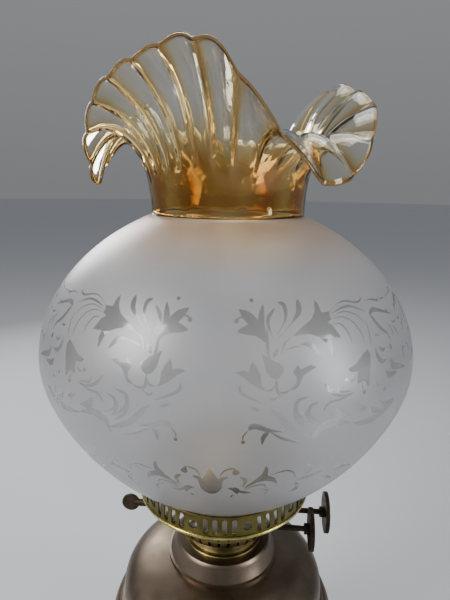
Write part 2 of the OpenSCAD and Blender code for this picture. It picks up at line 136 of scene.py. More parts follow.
def place_of(tree, stretch=(1, 1, 1)):
    """Object coordinates, in metres in the row frame, stretched along the axes."""
    coords = tree.nodes.new("ShaderNodeTexCoord")
    mapping = tree.nodes.new("ShaderNodeMapping")
    mapping.inputs["Scale"].default_value = stretch
    tree.links.new(coords.outputs["Object"], mapping.inputs["Vector"])
    return mapping.outputs["Vector"]


def noise(tree, scale, detail=4.0, stretch=(1, 1, 1), rough=0.55):
    node = tree.nodes.new("ShaderNodeTexNoise")
    node.inputs["Scale"].default_value = scale
    node.inputs["Detail"].default_value = detail
    node.inputs["Roughness"].default_value = rough
    tree.links.new(place_of(tree, stretch), node.inputs["Vector"])
    return node.outputs["Fac"]


def ramp(tree, value, *stops):
    """A colour ramp; each stop is (position, colour or grey level)."""
    node = tree.nodes.new("ShaderNodeValToRGB")
    points = node.color_ramp.elements
    while len(points) < len(stops):
        points.new(0.5)
    for point, (position, colour) in zip(points, stops):
        point.position = position
        point.color = (*colour, 1) if hasattr(colour, "__len__") else (colour, colour, colour, 1)
    tree.links.new(value, node.inputs["Fac"])
    return node.outputs["Color"]


def add_bump(tree, shader, height, depth):
    """Bumps depth metres deep, on top of any bumps the shader already has."""
    bump = tree.nodes.new("ShaderNodeBump")
    bump.inputs["Distance"].default_value = depth
    bump.inputs["Strength"].default_value = 1.0
    tree.links.new(height, bump.inputs["Height"])
    previous = shader.inputs["Normal"].links
    if previous:
        tree.links.new(previous[0].from_socket, bump.inputs["Normal"])
    tree.links.new(bump.outputs["Normal"], shader.inputs["Normal"])


def metal(name, bright, dark, smooth, rough, scale=60, grain=900, depth=0.00004):
    """A metal whose colour and roughness vary in soft patches, with a fine grain."""
    material, tree, shader = new_material(name, bright, metallic=1.0)
    patches = noise(tree, scale)
    tree.links.new(ramp(tree, patches, (0.35, dark), (0.62, bright)), shader.inputs["Base Color"])
    wear = noise(tree, scale * 2.3, detail=6)
    tree.links.new(ramp(tree, wear, (0.3, smooth), (0.7, rough)), shader.inputs["Roughness"])
    add_bump(tree, shader, noise(tree, grain, detail=2), depth)
    return material


def felt():
    """Green felt with a fuzz of fibres."""
    material, tree, shader = new_material("felt", (0.1, 0.14, 0.09), roughness=0.95)
    fibres = noise(tree, 1800, detail=6)
    tree.links.new(ramp(tree, fibres, (0.35, (0.05, 0.08, 0.05)), (0.65, (0.14, 0.19, 0.12))),
                   shader.inputs["Base Color"])
    shader.inputs["Sheen Weight"].default_value = 0.5
    add_bump(tree, shader, fibres, 0.0003)
    return material


def cotton():
    """Woven tape: ribs along and across the wick, a little browned by use."""
    material, tree, shader = new_material("cotton", (0.8, 0.76, 0.64), roughness=0.9)
    weave = tree.nodes.new("ShaderNodeTexWave")
    weave.inputs["Scale"].default_value = 220
    weave.inputs["Distortion"].default_value = 1.5
    weave.bands_direction = "Z"
    tree.links.new(place_of(tree), weave.inputs["Vector"])
    threads = noise(tree, 700, stretch=(1, 1, 0.3))
    tree.links.new(ramp(tree, threads, (0.3, (0.62, 0.55, 0.4)), (0.7, (0.88, 0.85, 0.76))),
                   shader.inputs["Base Color"])
    shader.inputs["Sheen Weight"].default_value = 0.3
    add_bump(tree, shader, weave.outputs["Fac"], 0.0003)
    add_bump(tree, shader, threads, 0.0002)
    return material


def char():
    """The burnt top of a wick."""
    material, tree, shader = new_material("char", (0.02, 0.018, 0.015), roughness=0.95)
    crumbs = noise(tree, 900, detail=6)
    tree.links.new(ramp(tree, crumbs, (0.35, (0.01, 0.009, 0.008)), (0.7, (0.07, 0.055, 0.04))),
                   shader.inputs["Base Color"])
    add_bump(tree, shader, crumbs, 0.0004)
    return material


def cast_iron():
    """Sand-cast iron, for the ballast weight."""
    material, tree, shader = new_material("cast_iron", (0.06, 0.055, 0.05), metallic=0.6, roughness=0.7)
    sand = noise(tree, 600, detail=8)
    tree.links.new(ramp(tree, sand, (0.35, (0.035, 0.03, 0.03)), (0.7, (0.11, 0.09, 0.08))),
                   shader.inputs["Base Color"])
    add_bump(tree, shader, sand, 0.0004)
    return material


BLUSH_DEPTH = 24 * MM


def satin_glass():
    """Acid-frosted glass: milky, soft where light passes through, and peach below the amber neck."""
    material, tree, shader = new_material("satin_glass", (0.86, 0.85, 0.83), roughness=0.5)
    cloud = noise(tree, 14, detail=3)
    milk = ramp(tree, cloud, (0.3, (0.53, 0.54, 0.57)), (0.7, (0.63, 0.61, 0.62)))
    height = tree.nodes.new("ShaderNodeSeparateXYZ")
    tree.links.new(place_of(tree), height.inputs["Vector"])
    fade = tree.nodes.new("ShaderNodeMapRange")
    fade.interpolation_type = "SMOOTHSTEP"
    fade.inputs["From Min"].default_value = NECK_Z - BLUSH_DEPTH
    fade.inputs["From Max"].default_value = NECK_Z
    fade.inputs["To Max"].default_value = 0.95
    tree.links.new(height.outputs["Z"], fade.inputs["Value"])
    blush = tree.nodes.new("ShaderNodeMix")
    blush.data_type = "RGBA"
    blush.inputs["B"].default_value = (0.66, 0.46, 0.31, 1)
    tree.links.new(fade.outputs["Result"], blush.inputs["Factor"])
    tree.links.new(milk, blush.inputs["A"])
    tree.links.new(blush.outputs["Result"], shader.inputs["Base Color"])
    shader.inputs["Transmission Weight"].default_value = 0.72
    shader.inputs["IOR"].default_value = 1.5
    shader.inputs["Specular IOR Level"].default_value = 1.0
    shader.inputs["Coat Weight"].default_value = 0.4
    shader.inputs["Coat Roughness"].default_value = 0.3
    grain = noise(tree, 1500, detail=3)
    tree.links.new(ramp(tree, grain, (0.3, 0.34), (0.7, 0.46)), shader.inputs["Roughness"])
    add_bump(tree, shader, grain, 0.00005)
    return material


def hazy_glass():
    """The inside of the globe: smooth blown glass with a faint haze."""
    material, tree, shader = new_material("hazy_glass", (0.94, 0.94, 0.92), roughness=0.15)
    cloud = noise(tree, 30, detail=3)
    tree.links.new(ramp(tree, cloud, (0.3, 0.1), (0.7, 0.22)), shader.inputs["Roughness"])
    shader.inputs["Transmission Weight"].default_value = 0.96
    shader.inputs["IOR"].default_value = 1.48
    return material


def clear_glass():
    """Glass that the acid didn't reach, inside the flowers and scrolls."""
    material, tree, shader = new_material("clear_glass", (0.8, 0.8, 0.79), roughness=0.08)
    shader.inputs["Transmission Weight"].default_value = 1.0
    shader.inputs["IOR"].default_value = 1.48
    ripple = noise(tree, 90, detail=2)
    tree.links.new(ramp(tree, ripple, (0.3, 0.05), (0.7, 0.14)), shader.inputs["Roughness"])
    add_bump(tree, shader, ripple, 0.0001)
    return material


def amber_glass():
    """Clear blown glass with an amber lustre: deepest in the throat and along the pleats."""
    material, tree, shader = new_material("amber_glass", (0.96, 0.9, 0.75), roughness=0.02)
    stain = tree.nodes.new("ShaderNodeAttribute")
    stain.attribute_name = "stain"
    cloud = noise(tree, 55, detail=3, stretch=(1, 1, 0.2))
    uneven = tree.nodes.new("ShaderNodeMath")
    uneven.operation = "MULTIPLY_ADD"
    uneven.inputs[1].default_value = 0.34
    tree.links.new(cloud, uneven.inputs[0])
    tree.links.new(stain.outputs["Fac"], uneven.inputs[2])
    tree.links.new(ramp(tree, uneven.outputs["Value"], (0.14, (0.955, 0.94, 0.86)),
                        (0.36, (0.95, 0.86, 0.62)), (0.62, (0.90, 0.68, 0.28)),
                        (0.95, (0.72, 0.40, 0.10))), shader.inputs["Base Color"])
    edge = tree.nodes.new("ShaderNodeMapRange")
    edge.inputs["From Min"].default_value = 0.9
    edge.inputs["To Min"].default_value = 1.0
    edge.inputs["To Max"].default_value = 0.75
    tree.links.new(stain.outputs["Fac"], edge.inputs["Value"])
    tree.links.new(edge.outputs["Result"], shader.inputs["Transmission Weight"])
    shader.inputs["IOR"].default_value = 1.55
    shader.inputs["Specular IOR Level"].default_value = 1.0
    shader.inputs["Specular Tint"].default_value = (1.0, 0.93, 0.76, 1)
    add_bump(tree, shader, noise(tree, 60, detail=2), 0.0005)
    return material


SLOT_MATERIALS = {
    "felt": felt(),
    "bronze": metal("bronze", (0.155, 0.115, 0.085), (0.10, 0.072, 0.052), 0.34, 0.5, 30),
    "iron": cast_iron(),
    "steel": metal("steel", (0.5, 0.5, 0.5), (0.36, 0.35, 0.34), 0.3, 0.5, 90),
    "font_bronze": metal("font_bronze", (0.175, 0.135, 0.10), (0.115, 0.088, 0.064), 0.32, 0.46, 30),
    "brass": metal("brass", (0.52, 0.39, 0.15), (0.26, 0.18, 0.06), 0.22, 0.42, 120),
    "dark_brass": metal("dark_brass", (0.30, 0.20, 0.08), (0.12, 0.08, 0.035), 0.35, 0.6, 120),
    "tarnished": metal("tarnished", (0.075, 0.058, 0.036), (0.032, 0.025, 0.017), 0.4, 0.65, 160),
    "cotton": cotton(),
    "frosted_glass": satin_glass(),
    "amber_glass": amber_glass(),
}
bead_brass = metal("bead_brass", (0.56, 0.50, 0.17), (0.38, 0.33, 0.10), 0.2, 0.36, 150)
gallery_brass = metal("gallery_brass", (0.135, 0.115, 0.036), (0.075, 0.06, 0.02), 0.28, 0.5, 110)
# A darker copy of the brass, for painted shade: the burner collar, air basket and font collar sit in the
# gallery's shadow.
burner_brass_painted_shade = metal("burner_brass_painted_shade", (0.20, 0.155, 0.065), (0.10, 0.075, 0.03), 0.3, 0.5, 110)
clear = clear_glass()
SMOOTH_ANGLE = math.radians(30)
WELD_DISTANCE = 1e-6


def smooth_cad_node(obj):
    """Smooth shading on a CAD node except at its sharp edges; its vertices stay as they are."""
    mesh = obj.data
    if "custom_normal" in mesh.attributes:
        mesh.attributes.remove(mesh.attributes["custom_normal"])
    mesh.polygons.foreach_set("use_smooth", [True] * len(mesh.polygons))
    weld = obj.modifiers.new("weld", "WELD")
    weld.merge_threshold = WELD_DISTANCE
    split = obj.modifiers.new("split", "EDGE_SPLIT")
    split.split_angle = SMOOTH_ANGLE


def dress_cad_nodes():
    """Every CAD node gets its slot's material, and a few brass nodes get their own brass: a darker copy with
    painted shade on the parts under the gallery, a brighter one on the bead and a darker one on the band.
    """
    for row in frame["record"]["subparts"]:
        obj = nodes[row["node"]]
        material = SLOT_MATERIALS[row["material_slot"]]
        obj.data.materials.clear()
        obj.data.materials.append(material)
        smooth_cad_node(obj)
    # Painted shade: the parts under the gallery get the darker copy of the brass.
    for name in ("burner_collar", "air_basket", "font_collar"):
        nodes[name].data.materials[0] = burner_brass_painted_shade
    nodes["gallery_bead"].data.materials[0] = bead_brass
    nodes["gallery_band"].data.materials[0] = gallery_brass


# ---------------------------------------------------------------- mesh helpers

def add_mesh(name, vertices, faces, body, materials, face_materials=None):
    """A smooth-shaded piece that rides body; face_materials gives an index into materials for each face."""
    mesh = bpy.data.meshes.new(name)
    mesh.from_pydata(vertices, [], faces)
    for material in materials:
        mesh.materials.append(material)
    if face_materials:
        mesh.polygons.foreach_set("material_index", face_materials)
    mesh.polygons.foreach_set("use_smooth", [True] * len(mesh.polygons))
    mesh.update()
    obj = bpy.data.objects.new(name, mesh)
    bpy.context.scene.collection.objects.link(obj)
    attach(obj, body)
    return obj


def cubic(a, b, c, d, t):
    """A point of a cubic curve, for numbers or tuples."""
    weights = ((1 - t) ** 3, 3 * (1 - t) ** 2 * t, 3 * (1 - t) * t * t, t ** 3)
    if hasattr(a, "__len__"):
        return tuple(sum(w * p[i] for w, p in zip(weights, (a, b, c, d))) for i in range(len(a)))
    return sum(w * p for w, p in zip(weights, (a, b, c, d)))


def clamp(value):
    return min(1, max(0, value))


# ---------------------------------------------------------------- shade profile

def globe_outer(t):
    """Outer surface of the globe as (radius, height), t from 0 at its foot to 2 at its neck."""
    if t <= 1:
        return cubic((WAIST_R + 3 * MM, FOOT_Z), (GLOBE_R - 30 * MM, FOOT_Z + 11.4 * MM),
                     (GLOBE_R + 0.5 * MM, EQUATOR_Z - 26 * MM), (GLOBE_R, EQUATOR_Z), t)
    return cubic((GLOBE_R, EQUATOR_Z), (GLOBE_R, EQUATOR_Z + 27 * MM),
                 (NECK_R + 41.5 * MM, NECK_Z - 17.2 * MM), (NECK_R, NECK_Z), t - 1)


def globe_inner(t):
    """Inner surface of the globe, in the same form."""
    inside = GLOBE_R - GLASS
    if t <= 1:
        return cubic((WAIST_R - 0.8 * MM, FOOT_Z + 2.6 * MM), (GLOBE_R - 31.4 * MM, FOOT_Z + 14 * MM),
                     (inside + 0.5 * MM, EQUATOR_Z - 25 * MM), (inside, EQUATOR_Z), t)
    return cubic((inside, EQUATOR_Z), (inside, EQUATOR_Z + 25.6 * MM),
                 (NECK_R + 37.5 * MM, NECK_Z - 18.6 * MM), (NECK_R - GLASS, NECK_Z - 2.2 * MM), t - 1)


class GlobeMap:
    """Turns (degrees round the globe, millimetres up its surface from the equator) into a point."""

    def __init__(self, steps=400):
        self.points = [globe_outer(2 * i / steps) for i in range(steps + 1)]
        self.arc = [0.0]
        for p, q in zip(self.points, self.points[1:]):
            self.arc.append(self.arc[-1] + math.dist(p, q) / MM)
        middle = self.arc[steps // 2]
        self.arc = [a - middle for a in self.arc]
        self.low, self.high = self.arc[0], self.arc[-1]

    def section(self, v):
        """(radius, height) at v millimetres from the equator."""
        lo, hi = 0, len(self.arc) - 1
        while hi - lo > 1:
            mid = (lo + hi) // 2
            if self.arc[mid] <= v:
                lo = mid
            else:
                hi = mid
        f = (v - self.arc[lo]) / (self.arc[hi] - self.arc[lo])
        p, q = self.points[lo], self.points[hi]
        return p[0] + (q[0] - p[0]) * f, p[1] + (q[1] - p[1]) * f

    def point(self, degrees, v):
        r, z = self.section(v)
        a = math.radians(degrees)
        return r * math.cos(a), r * math.sin(a), z


# ---------------------------------------------------------------- etched flowers
# Every mark is placed in degrees to the right of the mirror line of its garland,
# and millimetres above the widest part of the globe.

MM_PER_DEGREE = 1.75
STROKE_STEPS = 14


def smooth_line(points, steps):
    """A Catmull-Rom line through the points, as steps + 1 points."""
    ends = [tuple(2 * a - b for a, b in zip(points[0], points[1]))]
    ends += list(points) + [tuple(2 * a - b for a, b in zip(points[-1], points[-2]))]
    line = []
    for k in range(steps + 1):
        at = k / steps * (len(points) - 1)
        i = min(int(at), len(points) - 2)
        t = at - i
        a, b, c, d = ends[i:i + 4]
        line.append(tuple(
            0.5 * (2 * q + (r - p) * t + (2 * p - 5 * q + 4 * r - s) * t * t
                   + (3 * q - p - 3 * r + s) * t ** 3)
            for p, q, r, s in zip(a, b, c, d)))
    return line


def stroke(width, peak, *points):
    """A leaf or tendril: a line that swells to width (mm) at peak (0 to 1) and tapers at both ends."""
    line = smooth_line([(x * MM_PER_DEGREE, y) for x, y in points], STROKE_STEPS)
    bend = math.log(0.5) / math.log(peak)
    left, right = [], []
    for k in range(STROKE_STEPS + 1):
        p, q = line[max(0, k - 1)], line[min(STROKE_STEPS, k + 1)]
        length = math.dist(p, q) or 1
        nx, ny = -(q[1] - p[1]) / length, (q[0] - p[0]) / length
        half = width / 2 * max(0.08, math.sin(math.pi * (k / STROKE_STEPS) ** bend)) ** 0.8
        x, y = line[k]
        left.append(((x + nx * half) / MM_PER_DEGREE, y + ny * half))
        right.append(((x - nx * half) / MM_PER_DEGREE, y - ny * half))
    return left + right[::-1]


def dot(radius, x, y, steps=12):
    """A round seed; radius in mm."""
    turn = 2 * math.pi / steps
    return [(x + radius * math.cos(i * turn) / MM_PER_DEGREE, y + radius * math.sin(i * turn))
            for i in range(steps)]


TULIP = [(19, 35.8), (22.5, 39.5), (25.5, 42.2), (27.2, 45.5), (28.3, 50.5), (29.1, 48.5), (29.2, 44.6),
         (31.9, 44.6), (31.3, 42.5), (31.5, 41), (30, 40), (31.3, 38.5), (32.7, 33), (29.5, 33.6),
         (29.8, 30.5), (29, 26), (28, 31.5), (26.5, 34.5), (24, 36.2), (21.5, 36.3)]
BELL = [(40.3, 25.6), (38, 24), (35.5, 21.2), (32.5, 19.8), (33.5, 18.3), (35.5, 18), (35, 15),
        (35.1, 12.6), (36.5, 13.5), (37.5, 13), (38, 11), (38.7, 10), (39.2, 14), (40.3, 19), (40.9, 23)]

LILY = [(24.2, 23), (22.7, 24.2), (21.4, 23.4), (20.2, 22.9), (19.6, 24.7), (18.3, 22), (19, 20),
        (18.9, 17.4), (17, 15), (18.9, 15.6), (20, 18.2), (20.7, 20.4), (22.2, 21.6)]
CALYX = [(11.4, 29.9), (11.9, 25.5), (12.1, 23), (13.4, 20.3), (14.4, 19.8), (15.4, 20.8), (16.4, 23.5),
         (15.6, 25.6), (14, 27), (13, 28)]
POD = [(9.2, 26.9), (10.2, 24.5), (11, 21.5), (11, 18), (11.8, 15.6), (9.3, 17.8), (7.3, 20.9), (5.4, 22.8),
       (7.1, 23.7), (8.5, 22.9), (8.6, 25)]

UPPER_GARLAND = [
    TULIP, BELL, LILY, CALYX, POD,
    # bud with three petals, its stem and two seeds
    stroke(2.8, 0.6, (13.3, 33), (12, 42), (13, 50)), stroke(4.6, 0.6, (13.2, 34), (10, 42.5), (6.6, 48)),
    stroke(4.6, 0.6, (13.2, 33), (10.5, 39), (6, 38.8)), stroke(1.2, 0.4, (13.3, 40), (12.9, 30), (14, 23)),
    dot(0.9, 10, 52), dot(1.0, 5.8, 43), stroke(0.8, 0.3, (5.8, 43.6), (7, 44.6), (8.4, 43.6)),
    # plumes
    stroke(1.7, 0.6, (14.3, 36), (13.7, 43), (16, 48.2)),
    stroke(2.2, 0.7, (15.5, 37), (18.3, 43), (18.8, 49), (17.2, 50.8)),
    stroke(2.8, 0.78, (16, 36), (19.5, 41), (22.5, 46), (23.2, 51.6)),
    stroke(1.0, 0.5, (19.2, 36), (17, 33), (16, 29)),
    stroke(2.4, 0.6, (20.8, 32.4), (23.5, 31.8), (25.8, 27)),
    stroke(0.8, 0.5, (17, 30.5), (19, 31.6), (21, 31.6)),
    # stems of the three small flowers
    stroke(1.6, 0.5, (14, 28), (15.3, 31.6)), stroke(1.0, 0.5, (17.2, 15), (15.8, 14.4), (14.6, 15.2)),
    stroke(1.4, 0.5, (14.4, 20), (14.3, 16.5), (15, 13)),
    stroke(0.9, 0.5, (11.8, 15.8), (13.2, 16), (14, 18)),
    stroke(0.9, 0.5, (14.8, 13.4), (13.4, 12.2), (12.4, 13.6)),
    stroke(1.3, 0.4, (6.4, 18.2), (6.6, 15.4), (9, 12.8), (12, 10.4)),
    stroke(1.4, 0.5, (8.5, 9.8), (10.8, 8)),
    stroke(1.6, 0.4, (21.7, 11.9), (19, 10.8), (18.6, 7), (20.3, 3), (22.2, 0.6)),
    stroke(1.3, 0.4, (24, 9.2), (22, 8.2), (21.6, 5), (23.4, 2), (25, 1)),
    # scroll at the foot
    stroke(2.4, 0.3, (8.2, 0.8), (9.6, 2), (12.5, 0), (15.6, -1.2)),
    stroke(1.9, 0.4, (12.7, -0.4), (11.5, -3), (11.3, -6.5)),
    stroke(1.1, 0.4, (13, -1), (16, -4.5), (19.5, -7.2)), dot(0.8, 7.2, -4.8),
    stroke(0.6, 0.5, (8.3, 0.5), (7.2, -2), (7.1, -4.4)),
    stroke(2.6, 0.4, (13, 8.5), (15.5, 4), (17.5, 0), (21.5, -4), (23.6, -5)),
    stroke(1.7, 0.4, (18, 8.2), (19, 3), (22, -1.5)), stroke(1.7, 0.4, (22.4, 8.6), (21, 5), (22.6, 0.4)),
    stroke(3.6, 0.5, (23.2, -8), (24.5, -2.5), (28.5, -0.8), (32.5, -3)),
    stroke(3.6, 0.5, (28.2, 5.6), (29.5, 2), (32.5, 0.4)),
    stroke(2.2, 0.5, (34, 4.8), (36, 2.5), (37.6, 1.2)),
    stroke(3.0, 0.6, (39.2, 2.8), (40.5, -1), (43.5, -2.5)),
    stroke(3.2, 0.6, (42.2, 2.8), (45, -0.8), (49.5, -1)),
    stroke(3.8, 0.5, (33, -3.6), (39.5, -5.4), (45.5, -3.8), (50, -0.8)),
    # rings beside the bell, its stamen and seeds
    stroke(1.6, 0.4, (25.5, 16.5), (27.5, 12), (30.5, 9.6), (33.5, 10)),
    stroke(1.2, 0.4, (29, 14), (30, 11.5), (33, 10.8)),
    stroke(1.2, 0.4, (25, 5), (26.5, 8), (30, 8.5), (33, 9.6)),
    dot(0.9, 36.9, 8.7), stroke(0.6, 0.5, (36.4, 13), (36.6, 9.5)), dot(0.9, 31.8, 15.8),
    stroke(0.9, 0.5, (32.2, 15), (33.6, 14.9), (35, 17)), dot(1.0, 42, 10), dot(1.0, 44.7, 6.7),
    # arching spray
    stroke(1.1, 0.7, (32, 44.5), (35.5, 47.5), (39, 48), (43.5, 46.2), (46.6, 47.8)),
    stroke(1.2, 0.6, (47, 45.8), (50.5, 45.8), (53.5, 44.3), (55.4, 45)),
    stroke(0.7, 0.5, (55.4, 44), (57.6, 44.2), (59.4, 44)),
    stroke(1.2, 0.5, (32, 43.4), (36.5, 45.3), (40.5, 45), (45, 41)),
    stroke(0.7, 0.5, (31.6, 42.2), (36.5, 43.5), (40.5, 41), (43.5, 35)),
    stroke(0.7, 0.5, (31.4, 41.2), (35.5, 41.3), (38.7, 37.5), (40, 31), (39.4, 27)),
    stroke(0.7, 0.5, (31.4, 39), (34, 38.3), (35.5, 34), (35.7, 30)),
    stroke(0.7, 0.5, (43.3, 38), (42.8, 31), (41.5, 26)),
    # hook and its tails
    stroke(2.2, 0.3, (46, 39.6), (48.5, 41), (51, 40.2), (55.5, 37.5), (58, 35.6)),
    stroke(2.2, 0.3, (46.3, 39.8), (47.5, 35), (49, 31.5), (51, 28.5), (51.5, 25)),
    stroke(0.9, 0.5, (53, 33), (54.2, 30), (54, 26)), stroke(0.9, 0.5, (55.5, 31), (56.7, 28), (57, 25)),
    stroke(0.9, 0.5, (55.5, 33), (57.6, 31.8), (59.4, 32.4)), stroke(1.2, 0.5, (44.7, 30.2), (47, 29.9)),
    dot(1.3, 50.5, 22.8), stroke(1.7, 0.5, (45, 25), (46, 23.2), (47.6, 23.4)),
    stroke(2.2, 0.5, (43.5, 25.6), (43.5, 21.5), (45, 18.5), (47, 18.6)),
    # end leaf
    stroke(2.8, 0.5, (45.7, 14.5), (47, 11.5), (51, 11)),
    stroke(3.2, 0.4, (49.2, 18.5), (49.7, 14.5), (53.5, 12.4), (57, 10)),
    stroke(1.0, 0.5, (57, 14), (57.6, 18.6), (59.4, 19.2)), dot(1.0, 56, 38),
]

LOTUS_SIDE = [(0, -18.5), (1.1, -23), (1.6, -25.5), (2.8, -30), (2.7, -34), (1.9, -37.2), (0.9, -39),
              (0, -39.6)]
SIDE_FLOWER = [(12.8, -18), (13.5, -20.5), (13.7, -25), (15.5, -27), (16.5, -30.5), (16.7, -33),
               (15.5, -30.5), (13.5, -29), (11.5, -29.8), (9.5, -33), (8.2, -35.5), (9, -31.5), (11, -27),
               (12.3, -23)]
LOWER_GARLAND = [
    LOTUS_SIDE, SIDE_FLOWER,
    stroke(2.2, 0.4, (4.2, -25), (2.6, -27), (2.6, -33)),
    stroke(0.9, 0.5, (2.2, -25), (3.2, -20.8), (5, -19), (6.2, -20)),
    stroke(3.0, 0.6, (5.4, -19.2), (6, -21.5), (5.8, -23.6)),
    stroke(1.9, 0.4, (7, -25), (8.4, -27.5), (8, -33.5)),
    stroke(3.4, 0.5, (4.2, -34), (6.2, -35.2), (6.8, -39.6)),
    stroke(2.2, 0.5, (6, -35.4), (8.5, -38), (10.5, -38.6)),
    stroke(1.1, 0.5, (8.4, -37), (10.4, -33), (13, -32), (14.2, -35)),
    stroke(1.0, 0.4, (14.4, -25), (17.8, -23), (20, -25), (21.5, -30)),
    stroke(0.9, 0.5, (12, -35), (14.8, -37.5), (14.4, -42)), stroke(1.1, 0.5, (5.8, -40), (5, -43)),
    stroke(3.6, 0.5, (22, -33), (26, -31), (30, -29)), stroke(3.0, 0.5, (22.2, -34), (23.7, -40), (22, -45)),
    stroke(1.6, 0.5, (23.5, -21), (25, -25), (24, -30)), stroke(1.3, 0.5, (30.4, -20), (31.5, -23.5)),
    stroke(2.0, 0.5, (29, -34), (33, -38), (37, -44)), stroke(2.0, 0.5, (33, -31), (38, -33), (43, -38)),
]
GARLANDS = 3
MIRROR_LINE = -93.3
# The chart of the globe is cut open here, between two garlands, where no mark crosses.
SEAM = MIRROR_LINE - 60


def counter_clockwise(outline):
    """The outline in counter-clockwise order; a clockwise one would mark everything outside it."""
    area = sum(p[0] * q[1] - q[0] * p[1] for p, q in zip(outline, outline[1:] + outline[:1]))
    return outline if area > 0 else outline[::-1]


def etched_marks():
    """All outlines on the globe, as counter-clockwise lists of (degrees, mm)."""
    marks = []
    for k in range(GARLANDS):
        middle = MIRROR_LINE + k * 360 / GARLANDS
        for outline in UPPER_GARLAND + LOWER_GARLAND:
            for side in (1, -1):
                marks.append(counter_clockwise([(middle + side * x, y) for x, y in outline]))
    return marks


GLOBE_COLUMNS, GLOBE_ROWS, INNER_STEPS = 144, 52, 40
FROSTED, CLEAR, HAZY = range(3)
FROSTED_FOOT_RINGS = 7


def cut_skin(chart):
    """The outer skin, cut along every mark: vertices, faces, their materials, lowest and highest ring."""
    columns, rows = GLOBE_COLUMNS, GLOBE_ROWS
    heights = [chart.low + (chart.high - chart.low) * j / rows for j in range(rows + 1)]
    flat = [Vector((SEAM + 360 * i / columns, v)) for v in heights for i in range(columns + 1)]
    loops = []
    for mark in etched_marks():
        loops.append(list(range(len(flat), len(flat) + len(mark))))
        flat += [Vector(p) for p in mark]
    flat, _, triangles, origins, _, owners = delaunay_2d_cdt(flat, [], loops, 0, 1e-5)
    skin = [chart.point(p.x, min(max(p.y, chart.low), chart.high)) for p in flat]

    index = {}
    vertices, merged = [], []
    for p in skin:
        key = tuple(round(c, 7) for c in p)
        if key not in index:
            index[key] = len(vertices)
            vertices.append(p)
        merged.append(index[key])
    faces, kinds = [], []
    for triangle, owner in zip(triangles, owners):
        face = [merged[i] for i in triangle]
        if len(set(face)) == 3:
            faces.append(face)
            kinds.append(CLEAR if owner else FROSTED)

    placed = {source: merged[new] for new, sources in enumerate(origins) for source in sources}
    foot = [placed[i] for i in range(columns)]
    top = [placed[rows * (columns + 1) + i] for i in range(columns)]
    return vertices, faces, kinds, foot, top


def build_globe():
    """The globe as one closed glass wall: the cut skin, then the foot, the inside and the neck."""
    columns = GLOBE_COLUMNS
    vertices, faces, kinds, foot, top = cut_skin(GlobeMap())
    foot_profile = [(WAIST_R, FOOT_Z - 1 * MM), (WAIST_R - 0.2 * MM, LIP_Z + 8 * MM),
                    (WAIST_R + 0.4 * MM, LIP_Z + 5 * MM), (LIP_R - 0.6 * MM, LIP_Z + 3.4 * MM),
                    (LIP_R, LIP_Z + 2.4 * MM), (LIP_R, LIP_Z + 0.6 * MM), (LIP_R - 0.8 * MM, LIP_Z),
                    (WAIST_R - GLASS, LIP_Z), (WAIST_R - GLASS - 0.2 * MM, LIP_Z + 6 * MM),
                    (WAIST_R - GLASS, FOOT_Z + 1 * MM)]
    inside = [globe_inner(2 * i / INNER_STEPS) for i in range(INNER_STEPS + 1)]
    chain = foot_profile + inside + [(NECK_R - GLASS, NECK_Z)]
    last = foot
    for r, z in chain:
        ring = []
        for i in range(columns):
            a = math.radians(SEAM + 360 * i / columns)
            ring.append(len(vertices))
            vertices.append((r * math.cos(a), r * math.sin(a), z))
        for i in range(columns):
            k = (i + 1) % columns
            faces.append([last[k], last[i], ring[i], ring[k]])
            kinds.append(FROSTED if (r, z) in foot_profile[:FROSTED_FOOT_RINGS] else HAZY)
        last = ring
    for i in range(columns):
        k = (i + 1) % columns
        faces.append([last[k], last[i], top[i], top[k]])
        kinds.append(HAZY)
    globe = add_mesh("globe_glass", vertices, faces, "shade",
                     [SLOT_MATERIALS["frosted_glass"], clear, hazy_glass()], kinds)
    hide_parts("shade_globe")


# ---------------------------------------------------------------- rim of the shade

# Direction in degrees, then in mm the rim's reach beyond the neck, its height above the neck,
# and the height of the shoulder where a lip folds over.
RIM_TURNS = [(-177, 28, 16, 66), (-157, 32, 36, 66), (-140, 33, 54, 66), (-120, 31, 65, 66),
             (-96, 34, 67, 60), (-77, 35, 39, 54), (-61, 35, 18, 50), (-45, 35, 21, 50), (-20, 33, 51, 56),
             (-2, 26, 63, 66), (25, 24, 70, 70), (45, 24, 57, 74), (70, 31, 20, 74), (100, 32, 47, 70),
             (128, 30, 67, 66), (155, 30, 45, 66), (183, 28, 16, 66)]
CRIMPS = 24
COLUMNS_PER_CRIMP, FRILL_ROWS = 14, 44
CRIMP_DEPTH, CRIMP_PEAK, CRIMP_SPREAD = 2.6, 0.7, 0.45
LOWEST_RIM, FULL_RISE = 16, 52
# Where along the wall (0 at the neck, 1 at the rim) the amber is.
THROAT_TOP, THROAT_FADE, RIDGE_START, EDGE_START = 0.62, 0.35, 0.2, 0.98


def turn_slope(k):
    """Change of each column of the table for one degree, at its row k; the table closes on itself."""
    last = len(RIM_TURNS) - 1
    if k in (0, last):
        before, after = list(RIM_TURNS[last - 1]), RIM_TURNS[1]
        before[0] -= 360
    else:
        before, after = RIM_TURNS[k - 1], RIM_TURNS[k + 1]
    return [(q - p) / (after[0] - before[0]) for p, q in zip(before, after)]


def rim_at(a):
    """(direction, reach, height, shoulder) of the rim in direction a."""
    k = max(i for i in range(len(RIM_TURNS) - 1) if a >= RIM_TURNS[i][0])
    p, q = RIM_TURNS[k], RIM_TURNS[k + 1]
    third = (q[0] - p[0]) / 3
    leave = tuple(c + s * third for c, s in zip(p, turn_slope(k)))
    arrive = tuple(c - s * third for c, s in zip(q, turn_slope(k + 1)))
    return cubic(p, leave, arrive, q, (a - p[0]) / (q[0] - p[0]))


